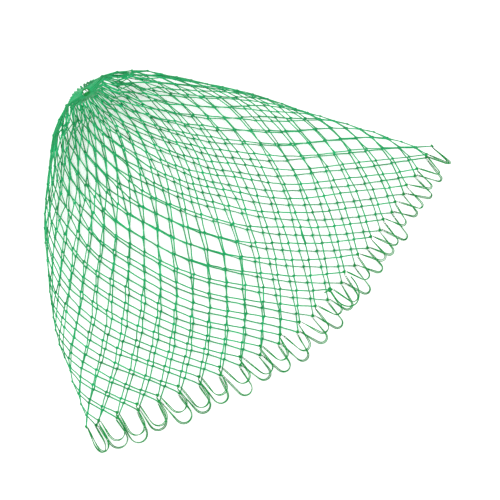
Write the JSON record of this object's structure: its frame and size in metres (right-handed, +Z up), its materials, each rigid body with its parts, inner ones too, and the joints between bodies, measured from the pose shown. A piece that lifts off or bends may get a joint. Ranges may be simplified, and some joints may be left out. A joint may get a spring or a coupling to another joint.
{
  "type": "net bag",
  "caption": "Knotted diamond-mesh net bag lying on its side, with a gathered closed crown and a wide open mouth edged with doubled twine loops for threading on a hoop.",
  "frame": {"origin": "under the middle of the lying bag, on the surface it lies on", "axes": "+X across the wide mouth, +Y from the mouth towards the closed crown, +Z up"},
  "size_m": [0.5426, 0.4308, 0.1208],
  "materials": {
    "mesh_twine": "twisted green nylon twine, slight sheen",
    "loop_twine": "doubled twisted green nylon twine, slight sheen",
    "crown_cord": "braided green nylon cord, slight sheen"
  },
  "bodies": {
    "netting": {"mesh_rounds_01_03": "mesh_twine", "mesh_rounds_02_04": "mesh_twine", "mesh_rounds_05_07": "mesh_twine", "mesh_rounds_06_08": "mesh_twine", "mesh_rounds_09_11": "mesh_twine", "mesh_rounds_10_12": "mesh_twine", "mesh_rounds_13_15": "mesh_twine", "mesh_rounds_14_16": "mesh_twine", "mesh_rounds_17_19": "mesh_twine", "mesh_rounds_18_20": "mesh_twine", "mesh_rounds_21_23": "mesh_twine", "mesh_rounds_22_24": "mesh_twine", "crown_gather_cord": "crown_cord", "mouth_knots": "loop_twine", "mouth_join_knot": "loop_twine", "mouth_slack_end": "loop_twine"},
    "loop_01": {"mouth_loop_01": "loop_twine"},
    "loop_02": {"mouth_loop_02": "loop_twine"},
    "loop_03": {"mouth_loop_03": "loop_twine"},
    "loop_04": {"mouth_loop_04": "loop_twine"},
    "loop_05": {"mouth_loop_05": "loop_twine"},
    "loop_06": {"mouth_loop_06": "loop_twine"},
    "loop_07": {"mouth_loop_07": "loop_twine"},
    "loop_08": {"mouth_loop_08": "loop_twine"},
    "loop_09": {"mouth_loop_09": "loop_twine"},
    "loop_10": {"mouth_loop_10": "loop_twine"},
    "loop_11": {"mouth_loop_11": "loop_twine"},
    "loop_12": {"mouth_loop_12": "loop_twine"},
    "loop_13": {"mouth_loop_13": "loop_twine"},
    "loop_14": {"mouth_loop_14": "loop_twine"},
    "loop_15": {"mouth_loop_15": "loop_twine"},
    "loop_16": {"mouth_loop_16": "loop_twine"},
    "loop_17": {"mouth_loop_17": "loop_twine"},
    "loop_18": {"mouth_loop_18": "loop_twine"},
    "loop_19": {"mouth_loop_19": "loop_twine"},
    "loop_20": {"mouth_loop_20": "loop_twine"},
    "loop_21": {"mouth_loop_21": "loop_twine"},
    "loop_22": {"mouth_loop_22": "loop_twine"},
    "loop_23": {"mouth_loop_23": "loop_twine"},
    "loop_24": {"mouth_loop_24": "loop_twine"},
    "loop_25": {"mouth_loop_25": "loop_twine"},
    "loop_26": {"mouth_loop_26": "loop_twine"},
    "loop_27": {"mouth_loop_27": "loop_twine"},
    "loop_28": {"mouth_loop_28": "loop_twine"},
    "loop_29": {"mouth_loop_29": "loop_twine"},
    "loop_30": {"mouth_loop_30": "loop_twine"},
    "loop_31": {"mouth_loop_31": "loop_twine"},
    "loop_32": {"mouth_loop_32": "loop_twine"},
    "loop_33": {"mouth_loop_33": "loop_twine"},
    "loop_34": {"mouth_loop_34": "loop_twine"},
    "loop_35": {"mouth_loop_35": "loop_twine"},
    "loop_36": {"mouth_loop_36": "loop_twine"},
    "loop_37": {"mouth_loop_37": "loop_twine"},
    "loop_38": {"mouth_loop_38": "loop_twine"},
    "loop_39": {"mouth_loop_39": "loop_twine"},
    "loop_40": {"mouth_loop_40": "loop_twine"},
    "loop_41": {"mouth_loop_41": "loop_twine"},
    "loop_42": {"mouth_loop_42": "loop_twine"},
    "loop_43": {"mouth_loop_43": "loop_twine"},
    "loop_44": {"mouth_loop_44": "loop_twine"}
  },
  "joints": [
    {"name": "loop_01_swing", "type": "hinge", "parent": "netting", "child": "loop_01", "pos_m": [0.01327, -0.17588, 0.00282], "axis": [-0.9909, -0.1345, 0], "range_deg": [0, 80]},
    {"name": "loop_02_swing", "type": "hinge", "parent": "netting", "child": "loop_02", "pos_m": [0.03937, -0.17234, 0.00282], "axis": [-0.9909, -0.1345, 0], "range_deg": [0, 80]},
    {"name": "loop_03_swing", "type": "hinge", "parent": "netting", "child": "loop_03", "pos_m": [0.06532, -0.16791, 0.00282], "axis": [-0.9794, -0.2019, 0], "range_deg": [0, 80]},
    {"name": "loop_04_swing", "type": "hinge", "parent": "netting", "child": "loop_04", "pos_m": [0.09104, -0.16223, 0.00282], "axis": [-0.9733, -0.2293, 0], "range_deg": [0, 80]},
    {"name": "loop_05_swing", "type": "hinge", "parent": "netting", "child": "loop_05", "pos_m": [0.1166, -0.15589, 0.00282], "axis": [-0.9677, -0.2522, 0], "range_deg": [0, 80]},
    {"name": "loop_06_swing", "type": "hinge", "parent": "netting", "child": "loop_06", "pos_m": [0.14201, -0.14899, 0.00282], "axis": [-0.9624, -0.2716, 0], "range_deg": [0, 80]},
    {"name": "loop_07_swing", "type": "hinge", "parent": "netting", "child": "loop_07", "pos_m": [0.1673, -0.14161, 0.00282], "axis": [-0.9575, -0.2886, 0], "range_deg": [0, 80]},
    {"name": "loop_08_swing", "type": "hinge", "parent": "netting", "child": "loop_08", "pos_m": [0.19245, -0.13381, 0.003], "axis": [-0.9526, -0.3038, -0.0137], "range_deg": [0, 80]},
    {"name": "loop_09_swing", "type": "hinge", "parent": "netting", "child": "loop_09", "pos_m": [0.21748, -0.12563, 0.00362], "axis": [-0.9477, -0.3174, -0.033], "range_deg": [0, 80]},
    {"name": "loop_10_swing", "type": "hinge", "parent": "netting", "child": "loop_10", "pos_m": [0.24234, -0.11712, 0.00514], "axis": [-0.9407, -0.329, -0.0824], "range_deg": [0, 60]},
    {"name": "loop_11_swing", "type": "hinge", "parent": "netting", "child": "loop_11", "pos_m": [0.25998, -0.1109, 0.01515], "axis": [-0.4988, -0.1794, -0.8479], "range_deg": [-8, 5]},
    {"name": "loop_12_swing", "type": "hinge", "parent": "netting", "child": "loop_12", "pos_m": [0.25731, -0.11185, 0.03388], "axis": [-0.6129, -0.2195, 0.7591], "range_deg": [-20, 80]},
    {"name": "loop_13_swing", "type": "hinge", "parent": "netting", "child": "loop_13", "pos_m": [0.2383, -0.11854, 0.04956], "axis": [-0.8448, -0.2934, 0.4475], "range_deg": [-40, 80]},
    {"name": "loop_14_swing", "type": "hinge", "parent": "netting", "child": "loop_14", "pos_m": [0.21532, -0.12636, 0.05951], "axis": [-0.9022, -0.3009, 0.309], "range_deg": [-60, 80]},
    {"name": "loop_15_swing", "type": "hinge", "parent": "netting", "child": "loop_15", "pos_m": [0.19123, -0.1342, 0.0666], "axis": [-0.9276, -0.295, 0.2294], "range_deg": [-60, 80]},
    {"name": "loop_16_swing", "type": "hinge", "parent": "netting", "child": "loop_16", "pos_m": [0.1666, -0.14183, 0.07193], "axis": [-0.9428, -0.2837, 0.1751], "range_deg": [-60, 80]},
    {"name": "loop_17_swing", "type": "hinge", "parent": "netting", "child": "loop_17", "pos_m": [0.14163, -0.1491, 0.07599], "axis": [-0.9538, -0.2689, 0.1339], "range_deg": [-60, 80]},
    {"name": "loop_18_swing", "type": "hinge", "parent": "netting", "child": "loop_18", "pos_m": [0.11639, -0.15595, 0.07908], "axis": [-0.9628, -0.2509, 0.1005], "range_deg": [-60, 80]},
    {"name": "loop_19_swing", "type": "hinge", "parent": "netting", "child": "loop_19", "pos_m": [0.09092, -0.16227, 0.08136], "axis": [-0.9707, -0.2291, 0.0722], "range_deg": [-10, 80]},
    {"name": "loop_20_swing", "type": "hinge", "parent": "netting", "child": "loop_20", "pos_m": [0.06526, -0.16794, 0.08293], "axis": [-0.9783, -0.2018, 0.0474], "range_deg": [-10, 80]},
    {"name": "loop_21_swing", "type": "hinge", "parent": "netting", "child": "loop_21", "pos_m": [0.03939, -0.17278, 0.08389], "axis": [-0.9859, -0.1655, 0.0256], "range_deg": [-10, 80]},
    {"name": "loop_22_swing", "type": "hinge", "parent": "netting", "child": "loop_22", "pos_m": [0.01332, -0.17631, 0.08433], "axis": [-0.9947, -0.1024, 0.0073], "range_deg": [-60, 80]},
    {"name": "loop_23_swing", "type": "hinge", "parent": "netting", "child": "loop_23", "pos_m": [-0.01287, -0.17631, 0.08433], "axis": [-0.9947, 0.1024, -0.0073], "range_deg": [-60, 80]},
    {"name": "loop_24_swing", "type": "hinge", "parent": "netting", "child": "loop_24", "pos_m": [-0.03895, -0.17278, 0.08389], "axis": [-0.9859, 0.1655, -0.0256], "range_deg": [-60, 80]},
    {"name": "loop_25_swing", "type": "hinge", "parent": "netting", "child": "loop_25", "pos_m": [-0.06481, -0.16794, 0.08293], "axis": [-0.9783, 0.2018, -0.0474], "range_deg": [-60, 80]},
    {"name": "loop_26_swing", "type": "hinge", "parent": "netting", "child": "loop_26", "pos_m": [-0.09048, -0.16227, 0.08136], "axis": [-0.9707, 0.2291, -0.0722], "range_deg": [-60, 80]},
    {"name": "loop_27_swing", "type": "hinge", "parent": "netting", "child": "loop_27", "pos_m": [-0.11594, -0.15595, 0.07908], "axis": [-0.9628, 0.2509, -0.1005], "range_deg": [-60, 80]},
    {"name": "loop_28_swing", "type": "hinge", "parent": "netting", "child": "loop_28", "pos_m": [-0.14118, -0.1491, 0.07599], "axis": [-0.9538, 0.2689, -0.1339], "range_deg": [-60, 80]},
    {"name": "loop_29_swing", "type": "hinge", "parent": "netting", "child": "loop_29", "pos_m": [-0.16615, -0.14183, 0.07193], "axis": [-0.9428, 0.2837, -0.1751], "range_deg": [-60, 80]},
    {"name": "loop_30_swing", "type": "hinge", "parent": "netting", "child": "loop_30", "pos_m": [-0.19078, -0.1342, 0.0666], "axis": [-0.9276, 0.295, -0.2294], "range_deg": [-60, 80]},
    {"name": "loop_31_swing", "type": "hinge", "parent": "netting", "child": "loop_31", "pos_m": [-0.21487, -0.12636, 0.05951], "axis": [-0.9022, 0.3009, -0.309], "range_deg": [-60, 80]},
    {"name": "loop_32_swing", "type": "hinge", "parent": "netting", "child": "loop_32", "pos_m": [-0.23785, -0.11854, 0.04956], "axis": [-0.8448, 0.2934, -0.4475], "range_deg": [-40, 80]},
    {"name": "loop_33_swing", "type": "hinge", "parent": "netting", "child": "loop_33", "pos_m": [-0.25686, -0.11185, 0.03388], "axis": [-0.6129, 0.2195, -0.7591], "range_deg": [-20, 80]},
    {"name": "loop_34_swing", "type": "hinge", "parent": "netting", "child": "loop_34", "pos_m": [-0.25953, -0.1109, 0.01515], "axis": [-0.4988, 0.1794, 0.8479], "range_deg": [-8, 5]},
    {"name": "loop_35_swing", "type": "hinge", "parent": "netting", "child": "loop_35", "pos_m": [-0.24189, -0.11712, 0.00514], "axis": [-0.9407, 0.329, 0.0824], "range_deg": [0, 60]},
    {"name": "loop_36_swing", "type": "hinge", "parent": "netting", "child": "loop_36", "pos_m": [-0.21703, -0.12563, 0.00362], "axis": [-0.9477, 0.3174, 0.033], "range_deg": [0, 80]},
    {"name": "loop_37_swing", "type": "hinge", "parent": "netting", "child": "loop_37", "pos_m": [-0.192, -0.13381, 0.003], "axis": [-0.9526, 0.3038, 0.0137], "range_deg": [0, 80]},
    {"name": "loop_38_swing", "type": "hinge", "parent": "netting", "child": "loop_38", "pos_m": [-0.16685, -0.14161, 0.00282], "axis": [-0.9575, 0.2886, 0], "range_deg": [0, 80]},
    {"name": "loop_39_swing", "type": "hinge", "parent": "netting", "child": "loop_39", "pos_m": [-0.14156, -0.14899, 0.00282], "axis": [-0.9624, 0.2716, 0], "range_deg": [0, 80]},
    {"name": "loop_40_swing", "type": "hinge", "parent": "netting", "child": "loop_40", "pos_m": [-0.11615, -0.15589, 0.00282], "axis": [-0.9677, 0.2522, 0], "range_deg": [0, 80]},
    {"name": "loop_41_swing", "type": "hinge", "parent": "netting", "child": "loop_41", "pos_m": [-0.09059, -0.16223, 0.00282], "axis": [-0.9733, 0.2293, 0], "range_deg": [0, 80]},
    {"name": "loop_42_swing", "type": "hinge", "parent": "netting", "child": "loop_42", "pos_m": [-0.06487, -0.16791, 0.00282], "axis": [-0.9794, 0.2019, 0], "range_deg": [0, 80]},
    {"name": "loop_43_swing", "type": "hinge", "parent": "netting", "child": "loop_43", "pos_m": [-0.03893, -0.17234, 0.00282], "axis": [-0.9909, 0.1345, 0], "range_deg": [0, 80]},
    {"name": "loop_44_swing", "type": "hinge", "parent": "netting", "child": "loop_44", "pos_m": [-0.01283, -0.17588, 0.00282], "axis": [-0.9909, 0.1345, 0], "range_deg": [0, 80]}
  ]
}
